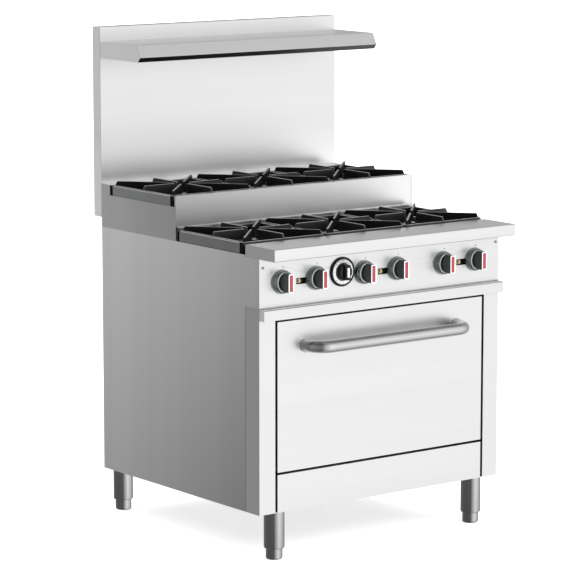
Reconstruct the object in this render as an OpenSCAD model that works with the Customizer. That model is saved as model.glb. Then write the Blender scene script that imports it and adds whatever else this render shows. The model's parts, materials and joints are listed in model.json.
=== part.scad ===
// Six-burner commercial gas range with a raised rear cooktop, a backguard with a high shelf,
// one oven and four adjustable legs. Millimetres, +Z up, front towards -Y.
// The origin is on the floor, below the middle of the whole object.

/* [Body] */
// Width across the side panels
body_w = 914; // [900:1:930]
// Depth from the front face to the back panel
body_d = 818; // [810:1:830]
// Height of the underside above the floor
base_z = 145; // [140:1:150]
// Thickness of the visible sheet steel
sheet = 1.5; // [1.2:0.1:2]
// Depth of the front stiles' side returns
stile_d = 67; // [64:1:72]
// Width of the front stiles
stile_w = 58; // [54:1:58]

/* [Cooktop] */
// Height of the front cooktop
front_deck_z = 938; // [936:1:942]
// Height of the raised rear cooktop
rear_deck_z = 1042; // [1030:1:1060]
// Depth at which the raised cooktop starts
step_y = 418; // [415:1:420]
// How far the front ledge stands out from the front face
ledge_out = 75; // [60:1:80]
// Thickness of the front ledge
ledge_h = 36; // [34:1:38]
// Distance from one burner to the next
burner_pitch = 305; // [300:1:305]
// Height of the grates' fins above the cooktop
fin_h = 17; // [12:1:20]
// Thickness of the grate's fins
fin_t = 7; // [5:1:8]
// Gap between neighbouring grates
grate_gap = 9; // [8:1:12]

/* [Backguard and shelf] */
// Height of the top of the backguard
guard_top_z = 1524; // [1500:1:1550]
// Height of the bottom of the backguard
guard_bottom_z = 937; // [930:1:940]
// Depth of the backguard box behind the body
guard_d = 42; // [41:1:50]
// Height of the shelf's top
shelf_z = 1479; // [1440:1:1485]
// Depth of the shelf in front of the backguard
shelf_d = 197; // [150:1:210]
// Height of the shelf's sloping front lip
lip_h = 36; // [30:1:42]
// How far the lip leans out at its bottom
lip_out = 20; // [10:1:24]

/* [Controls] */
// Height of the bottom of the control panel
panel_z = 757; // [755:1:759]
// Height of the knobs' axes
knob_z = 830; // [826:1:834]
// Distance between the two knobs of one pair
knob_gap = 125; // [120:1:128]
// Sideways offset of the knob pairs from the burners
pair_shift = -9; // [-12:1:-6]
// Radius of a knob's round skirt
knob_r = 36; // [33:1:37]
// How far a knob stands out of the panel
knob_out = 48; // [42:1:52]
// Sideways place of the thermostat dial
dial_x = -154; // [-156:1:-150]
// Height of the thermostat dial's axis
dial_z = 839; // [834:1:842]
// Radius of the thermostat dial's outer ring
dial_r = 44; // [40:1:45]

/* [Oven door] */
// Height of the bottom of the door
door_z = 265; // [264:1:268]
// Height of the door
door_h = 447; // [440:1:448]
// Clear gap between the door and each stile
door_gap = 8; // [7:1:9]
// Height of the handle's axis
handle_z = 634; // [600:1:650]
// Distance from the door's face to the handle's axis
handle_out = 65; // [58:1:75]
// Diameter of the handle tube
handle_d = 36; // [28:1:38]
// Distance from the middle to each handle end
handle_half = 288; // [240:1:310]

/* [Crumb tray] */
// Height of the bottom of the tray's front
tray_z = 722; // [721:1:723]
// How far the tray's front stands out
tray_out = 24; // [20:1:30]

/* [Legs] */
// Diameter of the leg tubes
leg_d = 62; // [56:1:62]
// Diameter of the adjustable feet
foot_d = 50; // [40:1:50]
// Height of the foot that shows below its tube
foot_show = 33; // [30:1:40]
// Sideways distance from the middle to each leg
leg_x = 380; // [360:1:385]
// Depth of the front legs
leg_front_y = 32; // [32:1:60]
// Depth of the rear legs
leg_rear_y = 826; // [820:1:827]

/* [Hidden] */
$fn = 48;

steel = "#d9dadb";
dark_steel = "#6f7477";
iron = "#26282a";
enamel = "#1b1c1e";
brass_colour = "#b89a4e";
knob_colour = "#474c4f";

half_w = body_w / 2;
handle_r = handle_d / 2;
back_y = body_d + guard_d;
front_y = -(back_y - handle_out - handle_r) / 2;
side_top_z = 908;
notch_h = 32;
panel_top_z = front_deck_z - ledge_h;
door_half = half_w - stile_w - door_gap;
door_top_z = door_z + door_h;
kick_top_z = door_z - 7;
door_t = 60;
hinge_y = 12;
hinge_z = door_z + 11;
hinge_r = 5;
running_gap = 0.05;
frame_y = door_t + 2;
cavity_half = 335;
cavity_z = 300;
cavity_top_z = 655;
cavity_back_y = 680;
liner_t = 2;
rack_z = 526;
rack_half = 328.5;
duct_half = 360;
beam_half = 417;
inlet_x = 405;
pipe_r = 13.35;
manifold_y = 62;
manifold_x = 425;
elbow_half = 20;
burner_y_front = 240;
burner_y_rear = 600;
head_drop = 50;
grate_w = burner_pitch - grate_gap;
grate_d = 320;
rim_t = 10;
rim_sink = 6;
rear_drop = 4;
rail_reach_x = half_w - sheet - 0.5;
front_box = [88, 405];
rear_box = [step_y + 21, 761];
slot_w = 38;
slot_h = 18;
slot_shift = 11;
pilot_z = knob_z - 4;
stem_r = 4;
tube_wall = 4;
foot_stem_r = 8;

// Burner columns: -1, 0 and 1 are left, middle and right. Knobs are counted 1 to 6 from the left.
function burner_x(i) = i * burner_pitch;
function knob_x(n) = pair_shift + (floor((n - 1) / 2) - 1) * burner_pitch + ((n - 1) % 2 - 0.5) * knob_gap;

// Places a child in the frame whose y = 0 is the front face of the body.
module at_front() { translate([0, front_y, 0]) children(); }

module block(x, y, z) {
    translate([x[0], y[0], z[0]]) cube([x[1] - x[0], y[1] - y[0], z[1] - z[0]]);
}

module both_sides() {
    children();
    mirror([1, 0, 0]) children();
}

// A round bar from z = 0 along +Y.
module bar_y(r, y0, y1) { translate([0, y0, 0]) rotate([-90, 0, 0]) cylinder(r = r, h = y1 - y0); }
module bar_x(r, x0, x1) { translate([x0, 0, 0]) rotate([0, 90, 0]) cylinder(r = r, h = x1 - x0); }

// A sheet bent along a path of [y, z] points, extruded across the width.
function normal(a, b) = let (d = b - a, l = norm(d)) [-d[1] / l, d[0] / l];
function mitre(a, b, c, t) = let (n = normal(a, b), m = normal(b, c)) (n + m) * t / (1 + n * m);
function inner_path(p, t) = [for (i = [0 : len(p) - 1])
    p[i] + (i == 0 ? normal(p[0], p[1]) * t
        : i == len(p) - 1 ? normal(p[i - 1], p[i]) * t
        : mitre(p[i - 1], p[i], p[i + 1], t))];
function reversed(p) = [for (i = [len(p) - 1 : -1 : 0]) p[i]];
module bent_sheet(path, t, x0, x1) {
    translate([x0, 0, 0]) rotate([90, 0, 90]) linear_extrude(x1 - x0)
        polygon(concat(path, reversed(inner_path(path, t))));
}

// ---- Cabinet ----

module side_sheet() {
    block([-half_w, -half_w + sheet], [stile_d + 1.5, body_d], [base_z, side_top_z]);
    block([-half_w, -half_w + sheet], [sheet, stile_d + 1.6], [panel_z, panel_top_z]);
    block([-half_w, -half_w + 20], [stile_d + 1.5, body_d - sheet], [base_z, base_z + sheet]);
}

module side_panel_left() { color(steel) at_front() side_sheet(); }
module side_panel_right() { color(steel) at_front() mirror([1, 0, 0]) side_sheet(); }

module step_sides() {
    color(steel) at_front() both_sides() {
        block([-half_w, -half_w + sheet], [step_y, body_d], [side_top_z, rear_deck_z - notch_h]);
        block([-half_w, -half_w + sheet], [rear_box[1] + 10, body_d], [side_top_z, rear_deck_z]);
    }
}

module back_panel() {
    color(steel) at_front() difference() {
        union() {
            block([-half_w + sheet, half_w - sheet], [body_d - sheet, body_d], [base_z, rear_deck_z]);
            block([-half_w + sheet, half_w - sheet], [rear_box[1] + 5, body_d],
                [rear_deck_z - sheet, rear_deck_z]);
        }
        translate([inlet_x, 0, knob_z]) bar_y(pipe_r + 2, body_d - 10, body_d + 10);
    }
}

module base_frame() {
    pan_half = half_w - 20.5;
    color(steel) at_front() {
        difference() {
            block([-pan_half, pan_half], [stile_d + 2, body_d - 2], [base_z, base_z + 2]);
            for (x = [-250 : 100 : 250], y = [260, 560])
                block([x - 35, x + 35], [y - 6, y + 6], [base_z - 1, base_z + 3]);
        }
        both_sides() block([-pan_half, -leg_x + leg_d / 2 + 10], [2, stile_d + 10], [base_z, base_z + 2]);
        block([-beam_half, beam_half], [body_d, back_y - 2], [base_z, base_z + 40]);
    }
}

module flue_duct() {
    duct_top_z = guard_bottom_z;
    color(steel) at_front() {
        block([-duct_half, duct_half], [back_y - 2 - sheet, back_y - 2], [base_z + 40, duct_top_z]);
        both_sides()
            block([-duct_half, -duct_half + sheet], [body_d, back_y - 2], [base_z + 40, duct_top_z]);
    }
}

module front_stiles() {
    inner_x = -half_w + stile_w;
    color(steel) at_front() both_sides() {
        block([-half_w, inner_x], [0, sheet], [base_z, tray_z - 0.5]);
        block([-half_w, -half_w + sheet], [0.5, stile_d], [base_z, tray_z - 0.5]);
        block([-half_w, -half_w + sheet], [0, stile_d], [tray_z - 1, panel_z]);
        block([inner_x - sheet, inner_x], [0.5, stile_d - 8], [base_z + 2.3, tray_z - 0.5]);
    }
}

module kick_panel() {
    color(steel) at_front() {
        block([-door_half, door_half], [0, sheet], [base_z, kick_top_z]);
        block([-door_half, door_half], [0.5, 22], [kick_top_z - sheet, kick_top_z]);
        both_sides() block([-door_half, -door_half + sheet], [0.5, 22], [base_z + 3, kick_top_z]);
    }
}

module oven_frame() {
    frame_half = half_w - stile_w - 2;
    frame_t = 2;
    gap = 0.25;
    color(enamel) at_front() {
        both_sides() block([-frame_half, -cavity_half - liner_t - gap], [frame_y, frame_y + frame_t],
            [cavity_z - 38, door_top_z]);
        block([-cavity_half - liner_t, cavity_half + liner_t], [frame_y, frame_y + frame_t],
            [cavity_top_z + liner_t + gap, door_top_z]);
        block([-cavity_half - liner_t, cavity_half + liner_t], [frame_y, frame_y + frame_t],
            [cavity_z - 38, cavity_z - liner_t - gap]);
    }
}

// ---- Top of the range ----

module control_panel() {
    color(steel) at_front() difference() {
        union() {
            block([-half_w, half_w], [0, sheet], [panel_z + 1, panel_top_z]);
            block([-half_w + 2, half_w - 2], [0.5, 26], [panel_z + 1, panel_z + 1 + sheet]);
        }
        for (n = [1 : 6]) translate([knob_x(n), 0, knob_z]) bar_y(6, -5, 10);
        translate([dial_x, 0, dial_z]) bar_y(8, -5, 10);
        for (i = [-1 : 1]) translate([pair_shift + burner_x(i) + slot_shift, 0, pilot_z])
            block([-slot_w / 2, slot_w / 2], [-5, 10], [-slot_h / 2, slot_h / 2]);
    }
}

module front_ledge() {
    color(steel) at_front() difference() {
        block([-half_w, half_w], [-ledge_out, stile_d], [panel_top_z, front_deck_z]);
        block([-half_w + sheet, half_w - sheet], [-ledge_out + sheet, stile_d + 5],
            [panel_top_z + sheet, front_deck_z - sheet]);
        block([-half_w + 12, half_w - 12], [10, stile_d + 5], [panel_top_z - 5, front_deck_z - 10]);
    }
}

module step_front() {
    face_half = half_w - 4;
    lip_top_z = front_deck_z + 11;
    color(steel) at_front() {
        block([-face_half, face_half], [step_y, step_y + sheet], [front_deck_z, rear_deck_z]);
        block([-face_half, face_half], [step_y + 0.5, step_y + 12], [rear_deck_z - sheet, rear_deck_z]);
        block([-face_half, face_half], [step_y - 10, step_y + 0.5], [lip_top_z - sheet, lip_top_z]);
        block([-face_half, face_half], [step_y - 10, step_y - 10 + sheet], [front_deck_z, lip_top_z]);
        both_sides() block([-face_half, -face_half + sheet], [step_y + 0.5, step_y + 12],
            [front_deck_z, rear_deck_z]);
    }
}

// Rails that carry the grates: two side rails, two cross rails, two dividers, and a rail below the
// burner heads.
module burner_box(y, head_y, deck_z) {
    gap = 0.25;
    rail_h = 29;
    rail_t = 4;
    seat_z = deck_z - rim_sink;
    both_sides() {
        block([-rail_reach_x, -rail_reach_x + sheet], y, [deck_z - rail_h, deck_z + 3]);
        block([-rail_reach_x + 1, -rail_reach_x + 14], y, [seat_z - 2, seat_z]);
        block([-burner_pitch / 2 - 10, -burner_pitch / 2 + 10], y, [seat_z - 16, seat_z]);
    }
    for (rail_y = [y[0] - rail_t - gap, y[1] + gap])
        block([-rail_reach_x, rail_reach_x], [rail_y, rail_y + rail_t], [deck_z - 26, seat_z]);
    block([-rail_reach_x, rail_reach_x], [head_y + 16, head_y + 24],
        [deck_z - head_drop - 10, deck_z - head_drop]);
}

module burner_box_front() {
    color(dark_steel) at_front() burner_box(front_box, burner_y_front, front_deck_z);
}
module burner_box_rear() {
    color(dark_steel) at_front() burner_box(rear_box, burner_y_rear, rear_deck_z - rear_drop);
}

module guard_front() {
    color(steel) at_front()
        block([-half_w, half_w], [body_d, body_d + sheet], [guard_bottom_z, guard_top_z]);
}

module guard_box() {
    outlet_w = 90;
    outlet_pitch = 115;
    depth = [body_d + sheet, back_y];
    color(steel) at_front() difference() {
        union() {
            both_sides() block([-half_w, -half_w + sheet], depth, [guard_bottom_z, guard_top_z]);
            block([-half_w, half_w], [back_y - sheet, back_y], [guard_bottom_z, guard_top_z]);
            block([-half_w, half_w], depth, [guard_top_z - sheet, guard_top_z]);
            both_sides() block([-half_w, -duct_half - 1], depth, [guard_bottom_z, guard_bottom_z + sheet]);
        }
        for (i = [-3 : 3]) translate([i * outlet_pitch, body_d + 21, guard_top_z])
            block([-outlet_w / 2, outlet_w / 2], [-9, 9], [-5, 5]);
    }
}

function shelf_path() = [
    [body_d, shelf_z],
    [body_d - shelf_d, shelf_z],
    [body_d - shelf_d - lip_out, shelf_z - lip_h],
    [body_d - shelf_d - lip_out + 12, shelf_z - lip_h - 14]];

module shelf() {
    color(steel) at_front() bent_sheet(shelf_path(), sheet, -half_w + sheet, half_w - sheet);
}

module shelf_ends() {
    color(steel) at_front() both_sides()
        translate([-half_w, 0, 0]) rotate([90, 0, 90]) linear_extrude(sheet)
            polygon(concat(shelf_path(), [[body_d, shelf_z - lip_h - 14]]));
}

// ---- Gas parts ----

module gas_manifold() {
    color("#3a3c3e") at_front() {
        translate([0, manifold_y, knob_z]) bar_x(pipe_r, -manifold_x, inlet_x - elbow_half - 0.3);
        translate([-manifold_x, manifold_y, knob_z]) bar_x(pipe_r + 3, -4, 18);
    }
}

module gas_inlet() {
    color("#3a3c3e") at_front() translate([inlet_x, 0, knob_z]) {
        translate([0, manifold_y, 0]) bar_x(pipe_r + 4, -elbow_half, elbow_half);
        bar_y(pipe_r + 4, manifold_y, manifold_y + elbow_half + 4);
        bar_y(pipe_r, manifold_y + elbow_half, body_d - 30);
        bar_y(pipe_r + 4, body_d - 34, body_d - 4);
        bar_y(pipe_r, body_d - 5, back_y - 2);
    }
}

module burner_valves() {
    color(brass_colour) at_front() for (n = [1 : 6]) {
        hood_z = n % 2 == 1 ? 893 : 862;
        translate([knob_x(n), 0, knob_z]) difference() {
            union() {
                block([-11, 11], [10, manifold_y - pipe_r - 0.2], [-14, 14]);
                translate([0, 24, 10]) cylinder(r = 7, h = hood_z - knob_z - 10);
                translate([0, 0, hood_z - knob_z]) bar_y(8, 17, 70);
            }
            bar_y(stem_r + running_gap, 5, 26);
        }
    }
}

// A cast burner: a round head with a raised centre and a feed tube from its valve.
module burner_head(x, y, z) {
    translate([x, y, z]) rotate_extrude() polygon([[0, 0], [30, 0], [48, 14], [48, 22], [40, 27], [16, 27],
        [12, 34], [0, 34]]);
}

module feed_tube(from, to, z, r) {
    d = to - from;
    translate([from[0], from[1], z]) rotate([0, 0, atan2(d[1], d[0]) - 90]) {
        bar_y(r, 0, norm(d));
        bar_y(r + 4, 0, 16);
    }
}

module burners_front() {
    color(iron) at_front() for (i = [-1 : 1]) {
        burner_head(burner_x(i), burner_y_front, front_deck_z - head_drop);
        feed_tube([knob_x(2 * i + 3), 84], [burner_x(i), burner_y_front], 893, 12);
    }
}

module burners_rear() {
    tube_z = 862;
    head_z = rear_deck_z - rear_drop - head_drop;
    color(iron) at_front() for (i = [-1 : 1]) {
        burner_head(burner_x(i), burner_y_rear, head_z);
        translate([burner_x(i), burner_y_rear, tube_z - 16]) cylinder(r = 15, h = head_z + 20 - tube_z);
        feed_tube([knob_x(2 * i + 4), 84], [burner_x(i), burner_y_rear], tube_z, 12);
    }
}

module pilot_tips() {
    color("#c9cbcc") at_front() both_sides() {
        for (p = [[105, front_deck_z], [248, front_deck_z],
                [460, rear_deck_z - rear_drop], [606, rear_deck_z - rear_drop]])
            translate([-burner_pitch / 2, p[0], p[1] - rim_sink]) {
                cylinder(r = 3.6, h = 8);
                cylinder(r = 2.6, h = 16);
            }
    }
}

module oven_burner() {
    color(iron) at_front() {
        translate([0, 0, 225]) bar_y(14, 110, 600);
        for (y = [200, 400]) translate([0, y, 225]) bar_x(10, -180, 180);
        translate([0, 0, 225]) block([-24, 24], [84, 112], [-24, 30]);
        for (y = [150, 560]) block([-6, 6], [y, y + 12], [base_z + 2, 220]);
    }
}

module oven_baffle() {
    color(enamel) at_front() {
        difference() {
            block([-300, 300], [90, 650], [262, 290]);
            block([-298, 298], [92, 648], [261, 288]);
        }
        both_sides() for (y = [130, 600]) block([-284, -278], [y, y + 20], [289, cavity_z - liner_t]);
    }
}

module thermostat_body() {
    color("#8d9093") at_front() translate([dial_x, 0, dial_z]) difference() {
        union() {
            block([-26, 26], [8, manifold_y - pipe_r - 1], [-20, 26]);
            bar_y(12, 4, 9);
        }
        bar_y(stem_r + running_gap, 2, 30);
    }
}

// ---- Oven ----

module oven_liner() {
    vent_x = cavity_half - 22;
    color(enamel) at_front() difference() {
        block([-cavity_half - liner_t, cavity_half + liner_t], [frame_y, cavity_back_y + liner_t],
            [cavity_z - liner_t, cavity_top_z + liner_t]);
        block([-cavity_half, cavity_half], [frame_y - 5, cavity_back_y], [cavity_z, cavity_top_z]);
        both_sides() block([vent_x, vent_x + 14], [120, 620], [cavity_z - 5, cavity_z + 1]);
    }
}

module rack_guides() {
    wire_r = 3;
    levels = [346, 401, 456, rack_z - wire_r - 3.4, 581];
    color("#b9bcbe") at_front() both_sides() {
        for (z = levels) translate([-cavity_half + 8, 0, z]) bar_y(wire_r, 80, 660);
        for (y = [110, 370, 630]) translate([-cavity_half + 3.2, y, 322]) cylinder(r = wire_r, h = 284);
    }
}

module oven_rack() {
    bar = 6;
    wire = 3.4;
    y0 = 74;
    y1 = 652;
    color("#c9ccce") at_front() {
        both_sides() block([-rack_half, -rack_half + bar], [y0, y1], [rack_z - bar / 2, rack_z + bar / 2]);
        for (y = [y0, (y0 + y1 - bar) / 2, y1 - bar])
            block([-rack_half, rack_half], [y, y + bar], [rack_z - bar / 2, rack_z + bar / 2]);
        for (x = [-rack_half + 33 : 32 : rack_half - 20])
            block([x, x + wire], [y0 + 1, y1 - 1], [rack_z + 1, rack_z + bar / 2 + wire]);
    }
}

module insulation() {
    slab = 45;
    color("#cdbf8f") at_front() {
        both_sides() block([-cavity_half - liner_t - slab, -cavity_half - liner_t], [frame_y + 4, 740],
            [cavity_z, cavity_top_z]);
        block([-cavity_half - liner_t, cavity_half + liner_t], [frame_y + 4, 740],
            [cavity_top_z + liner_t, cavity_top_z + liner_t + slab]);
        block([-cavity_half - liner_t, cavity_half + liner_t], [cavity_back_y + liner_t, 740],
            [cavity_z, cavity_top_z + liner_t]);
    }
}

module tray_runners() {
    color(dark_steel) at_front() both_sides()
        block([-half_w + sheet, -375], [stile_d + 3, 700], [tray_z - 6, tray_z + 2.6]);
}

// ---- Door ----

module door_skin() {
    color(steel) at_front() difference() {
        block([-door_half, door_half], [0, 30], [door_z, door_top_z]);
        block([-door_half + sheet, door_half - sheet], [sheet, 31], [door_z + sheet, door_top_z - sheet]);
        both_sides() block([-door_half - 1, -door_half + 24], [sheet, 31], [door_z - 1, hinge_z + 17]);
    }
}

module door_liner() {
    color(enamel) at_front() difference() {
        block([-door_half + 2, door_half - 2], [30, door_t - 1.5], [door_z + 2, door_top_z - 2]);
        block([-door_half + 4, door_half - 4], [29, door_t - 3.5], [door_z + 4, door_top_z - 4]);
    }
}

module door_insulation() {
    inset = 26;
    color("#cdbf8f") at_front()
        block([-door_half + inset, door_half - inset], [3, door_t - 4], [door_z + inset, door_top_z - inset]);
}

module door_gasket() {
    half = cavity_half + 20;
    color("#5b5d5f") at_front() difference() {
        block([-half, half], [door_t - 1.5, door_t + 1], [cavity_z - 20, cavity_top_z + 20]);
        block([-half + 10, half - 10], [door_t - 2.5, door_t + 2], [cavity_z - 10, cavity_top_z + 10]);
    }
}

module handle_bar(r, end_y) {
    bend_r = 47;
    straight_half = handle_half - bend_r;
    translate([0, -handle_out, 0]) bar_x(r, -straight_half, straight_half);
    both_sides() {
        translate([-straight_half, -handle_out + bend_r, 0])
            rotate([0, 0, 180]) rotate_extrude(angle = 90) translate([bend_r, 0]) circle(r = r);
        translate([-handle_half, 0, 0]) bar_y(r, -handle_out + bend_r, end_y);
    }
}

// A bent tube with a collar at each end.
module door_handle() {
    collar_r = handle_r + 3;
    wall = 2;
    color("#c8cacb") at_front() translate([0, 0, handle_z]) difference() {
        union() {
            handle_bar(handle_r, 0);
            both_sides() translate([-handle_half, 0, 0]) bar_y(collar_r, -8, 0);
        }
        handle_bar(handle_r - wall, 1);
    }
}

module door_hinge_blocks() {
    color(dark_steel) at_front() both_sides() difference() {
        block([-door_half, -door_half + 22], [sheet, 29], [door_z + sheet, hinge_z + 15]);
        translate([-door_half - 5, hinge_y, hinge_z]) rotate([0, 90, 0])
            cylinder(r = hinge_r + running_gap, h = 22);
    }
}

module door_pins() {
    pin_end = door_half - 15;
    color("#8d9093") at_front() both_sides() translate([0, hinge_y, hinge_z]) {
        bar_x(hinge_r, -half_w + stile_w, -pin_end);
        bar_x(hinge_r + 3, -half_w + stile_w, -half_w + stile_w + 3);
    }
}

// ---- Crumb tray ----

module crumb_tray() {
    floor_half = half_w - stile_w - 9;
    tray_back_y = 690;
    top_z = panel_z - 2;
    color(steel) at_front() {
        block([-half_w, half_w], [-tray_out, -tray_out + sheet], [tray_z, top_z]);
        block([-half_w, half_w], [-tray_out + 0.5, -0.6], [top_z - sheet, top_z]);
        both_sides() block([-half_w, -half_w + sheet], [-tray_out + 0.5, -0.6], [tray_z, top_z]);
        block([-floor_half, floor_half], [-tray_out + 0.5, tray_back_y], [tray_z + 3, tray_z + 3 + sheet]);
        both_sides() block([-floor_half, -floor_half + sheet], [-tray_out + 0.5, tray_back_y],
            [tray_z + 3, tray_z + 26]);
        block([-floor_half, floor_half], [tray_back_y - sheet, tray_back_y], [tray_z + 3, tray_z + 26]);
    }
}

// ---- Small parts ----

module panel_screws() {
    screw_x = half_w - 13;
    color("#9b9ea1") at_front() both_sides() translate([-screw_x, 0, panel_top_z - 26]) rotate([90, 0, 0])
        rotate_extrude() polygon([[0, 0], [4.5, 0], [4.2, 1.4], [2.8, 2.5], [0, 2.9]]);
}

module pilot_screws() {
    screw_r = 6.5;
    color(brass_colour) at_front() for (i = [-1 : 1])
        translate([pair_shift + burner_x(i) + 3, 0, pilot_z]) {
            bar_y(screw_r, 3, 30);
            bar_y(screw_r - 2.5, 29, manifold_y - pipe_r - 0.4);
        }
}

module knob(n) {
    dome = [[0, 0], [knob_r, 0], [knob_r, 2.5], [knob_r - 3, 8], [knob_r - 8, 15],
        [knob_r - 16, 21], [0, 23]];
    grip_w = 21;
    color(knob_colour) at_front() translate([knob_x(n), -1.2, knob_z]) rotate([90, 0, 0]) {
        rotate_extrude() polygon(dome);
        intersection() {
            cylinder(r = knob_r - 4, h = knob_out - 1.2);
            translate([-grip_w / 2, -knob_r, 5]) cube([grip_w, 2 * knob_r, knob_out]);
        }
        translate([0, 0, -21]) cylinder(r = stem_r, h = 26);
    }
}

module knob_1() { knob(1); }
module knob_2() { knob(2); }
module knob_3() { knob(3); }
module knob_4() { knob(4); }
module knob_5() { knob(5); }
module knob_6() { knob(6); }

module thermostat_dial() {
    color(enamel) at_front() translate([dial_x, -0.6, dial_z]) rotate([90, 0, 0]) {
        rotate_extrude() polygon([[0, 0], [dial_r, 0], [dial_r, 5], [dial_r - 5, 6.5], [dial_r - 6, 4.5],
            [dial_r - 16, 7], [dial_r - 18, 22], [dial_r - 20, 24], [0, 24]]);
        translate([0, 0, -24]) cylinder(r = stem_r, h = 26);
    }
}

// ---- Grates ----

// A cast grate: a thin rectangular rim and eight upright fins towards an open centre.
module grate(i, y, deck_z) {
    half_x = grate_w / 2;
    half_y = grate_d / 2;
    centre_r = 26;
    fin_depth = 32;
    top = rim_sink + fin_h;
    corner = atan2(half_y, half_x);
    corner_end = norm([half_x, half_y]) - 7;
    color(iron) at_front() translate([burner_x(i), y, deck_z - rim_sink]) {
        difference() {
            translate([-half_x, -half_y, 0]) cube([grate_w, grate_d, rim_t]);
            translate([-half_x + 8, -half_y + 8, -1]) cube([grate_w - 16, grate_d - 16, rim_t + 2]);
        }
        for (fin = [[0, half_x - 1], [90, half_y - 1], [180, half_x - 1], [270, half_y - 1],
                [corner, corner_end], [180 - corner, corner_end],
                [180 + corner, corner_end], [360 - corner, corner_end]])
            rotate([0, 0, fin[0]]) translate([0, fin_t / 2, 0]) rotate([90, 0, 0]) linear_extrude(fin_t)
                polygon([[centre_r, top - fin_depth], [centre_r + 10, top - fin_depth - 2],
                    [fin[1] - 30, 0], [fin[1] - 1, 0], [fin[1] - 1, rim_t],
                    [fin[1] - 8, top], [centre_r, top]]);
    }
}

module grate_front_left() { grate(-1, burner_y_front, front_deck_z); }
module grate_front_middle() { grate(0, burner_y_front, front_deck_z); }
module grate_front_right() { grate(1, burner_y_front, front_deck_z); }
module grate_rear_left() { grate(-1, burner_y_rear, rear_deck_z - rear_drop); }
module grate_rear_middle() { grate(0, burner_y_rear, rear_deck_z - rear_drop); }
module grate_rear_right() { grate(1, burner_y_rear, rear_deck_z - rear_drop); }

// ---- Legs ----

module leg_tubes() {
    nut_z = 95;
    color("#b4b7b9") at_front() for (x = [-leg_x, leg_x], y = [leg_front_y, leg_rear_y])
        translate([x, y, 0]) difference() {
            translate([0, 0, foot_show]) cylinder(r = leg_d / 2, h = base_z - foot_show);
            translate([0, 0, foot_show - 1]) cylinder(r = leg_d / 2 - tube_wall, h = nut_z - foot_show + 1);
            translate([0, 0, nut_z + 12]) cylinder(r = leg_d / 2 - tube_wall, h = base_z - nut_z);
            translate([0, 0, nut_z - 1]) cylinder(r = foot_stem_r + running_gap, h = 20);
        }
}

module foot(x, y) {
    foot_r = foot_d / 2;
    color("#9da0a2") at_front() translate([x, y, 0]) rotate_extrude() polygon([[0, 0], [foot_r - 3, 0],
        [foot_r, 3], [foot_r, 60], [foot_r - 3, 63], [foot_stem_r, 63], [foot_stem_r, 128], [0, 128]]);
}

module foot_front_left() { foot(-leg_x, leg_front_y); }
module foot_front_right() { foot(leg_x, leg_front_y); }
module foot_rear_left() { foot(-leg_x, leg_rear_y); }
module foot_rear_right() { foot(leg_x, leg_rear_y); }

side_panel_left();
side_panel_right();
step_sides();
back_panel();
base_frame();
flue_duct();
front_stiles();
kick_panel();
control_panel();
front_ledge();
step_front();
burner_box_front();
burner_box_rear();
guard_front();
guard_box();
shelf();
shelf_ends();
leg_tubes();
gas_manifold();
gas_inlet();
burner_valves();
burners_front();
burners_rear();
pilot_tips();
oven_frame();
oven_liner();
rack_guides();
oven_burner();
oven_baffle();
thermostat_body();
insulation();
tray_runners();
panel_screws();
pilot_screws();
door_pins();
door_skin();
door_liner();
door_insulation();
door_gasket();
door_handle();
door_hinge_blocks();
oven_rack();
crumb_tray();
knob_1();
knob_2();
knob_3();
knob_4();
knob_5();
knob_6();
thermostat_dial();
grate_front_left();
grate_front_middle();
grate_front_right();
grate_rear_left();
grate_rear_middle();
grate_rear_right();
foot_front_left();
foot_front_right();
foot_rear_left();
foot_rear_right();
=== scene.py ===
"""Looks of a commercial gas range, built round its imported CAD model."""
import json
import math

import bmesh
import bpy
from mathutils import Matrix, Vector


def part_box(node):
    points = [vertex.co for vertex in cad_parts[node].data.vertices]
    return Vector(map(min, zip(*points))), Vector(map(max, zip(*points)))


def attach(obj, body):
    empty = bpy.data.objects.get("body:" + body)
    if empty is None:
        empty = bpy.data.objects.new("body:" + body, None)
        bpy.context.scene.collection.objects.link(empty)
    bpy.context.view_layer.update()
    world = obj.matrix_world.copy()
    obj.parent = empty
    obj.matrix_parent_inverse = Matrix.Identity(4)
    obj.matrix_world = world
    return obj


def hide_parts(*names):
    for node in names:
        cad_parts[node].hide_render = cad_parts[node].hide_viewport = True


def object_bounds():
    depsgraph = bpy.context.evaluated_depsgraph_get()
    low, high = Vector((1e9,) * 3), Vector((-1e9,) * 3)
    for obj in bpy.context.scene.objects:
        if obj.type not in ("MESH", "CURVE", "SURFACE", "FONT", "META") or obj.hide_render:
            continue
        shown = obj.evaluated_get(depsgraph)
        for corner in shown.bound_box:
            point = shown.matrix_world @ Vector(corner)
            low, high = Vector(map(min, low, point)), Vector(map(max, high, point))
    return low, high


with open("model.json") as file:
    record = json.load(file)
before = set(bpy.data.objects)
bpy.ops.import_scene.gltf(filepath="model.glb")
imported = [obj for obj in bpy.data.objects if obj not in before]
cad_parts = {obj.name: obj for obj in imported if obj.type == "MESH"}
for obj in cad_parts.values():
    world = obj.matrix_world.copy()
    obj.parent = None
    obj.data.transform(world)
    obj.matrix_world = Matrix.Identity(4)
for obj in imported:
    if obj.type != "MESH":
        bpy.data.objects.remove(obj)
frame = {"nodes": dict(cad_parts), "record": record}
CAD_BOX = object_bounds()
CAD = frame["nodes"]

# ---- Units, directions and places ----

MM = 0.001
RIGHT, BACK, UP = (1, 0, 0), (0, 1, 0), (0, 0, 1)
OUT = (0, -1, 0)

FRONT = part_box("control_panel")[0].y

HALF_WIDTH = CAD_BOX[1][0]
KNOBS = range(1, 7)
ROWS = ("front", "rear")
COLUMNS = ("left", "middle", "right")


def mm(points):
    """Points given in millimetres, in metres."""
    return [tuple(c * MM for c in point) for point in points]


def middle(node):
    """The middle of a CAD node's box."""
    lo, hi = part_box(node)
    return (lo + hi) / 2


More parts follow.
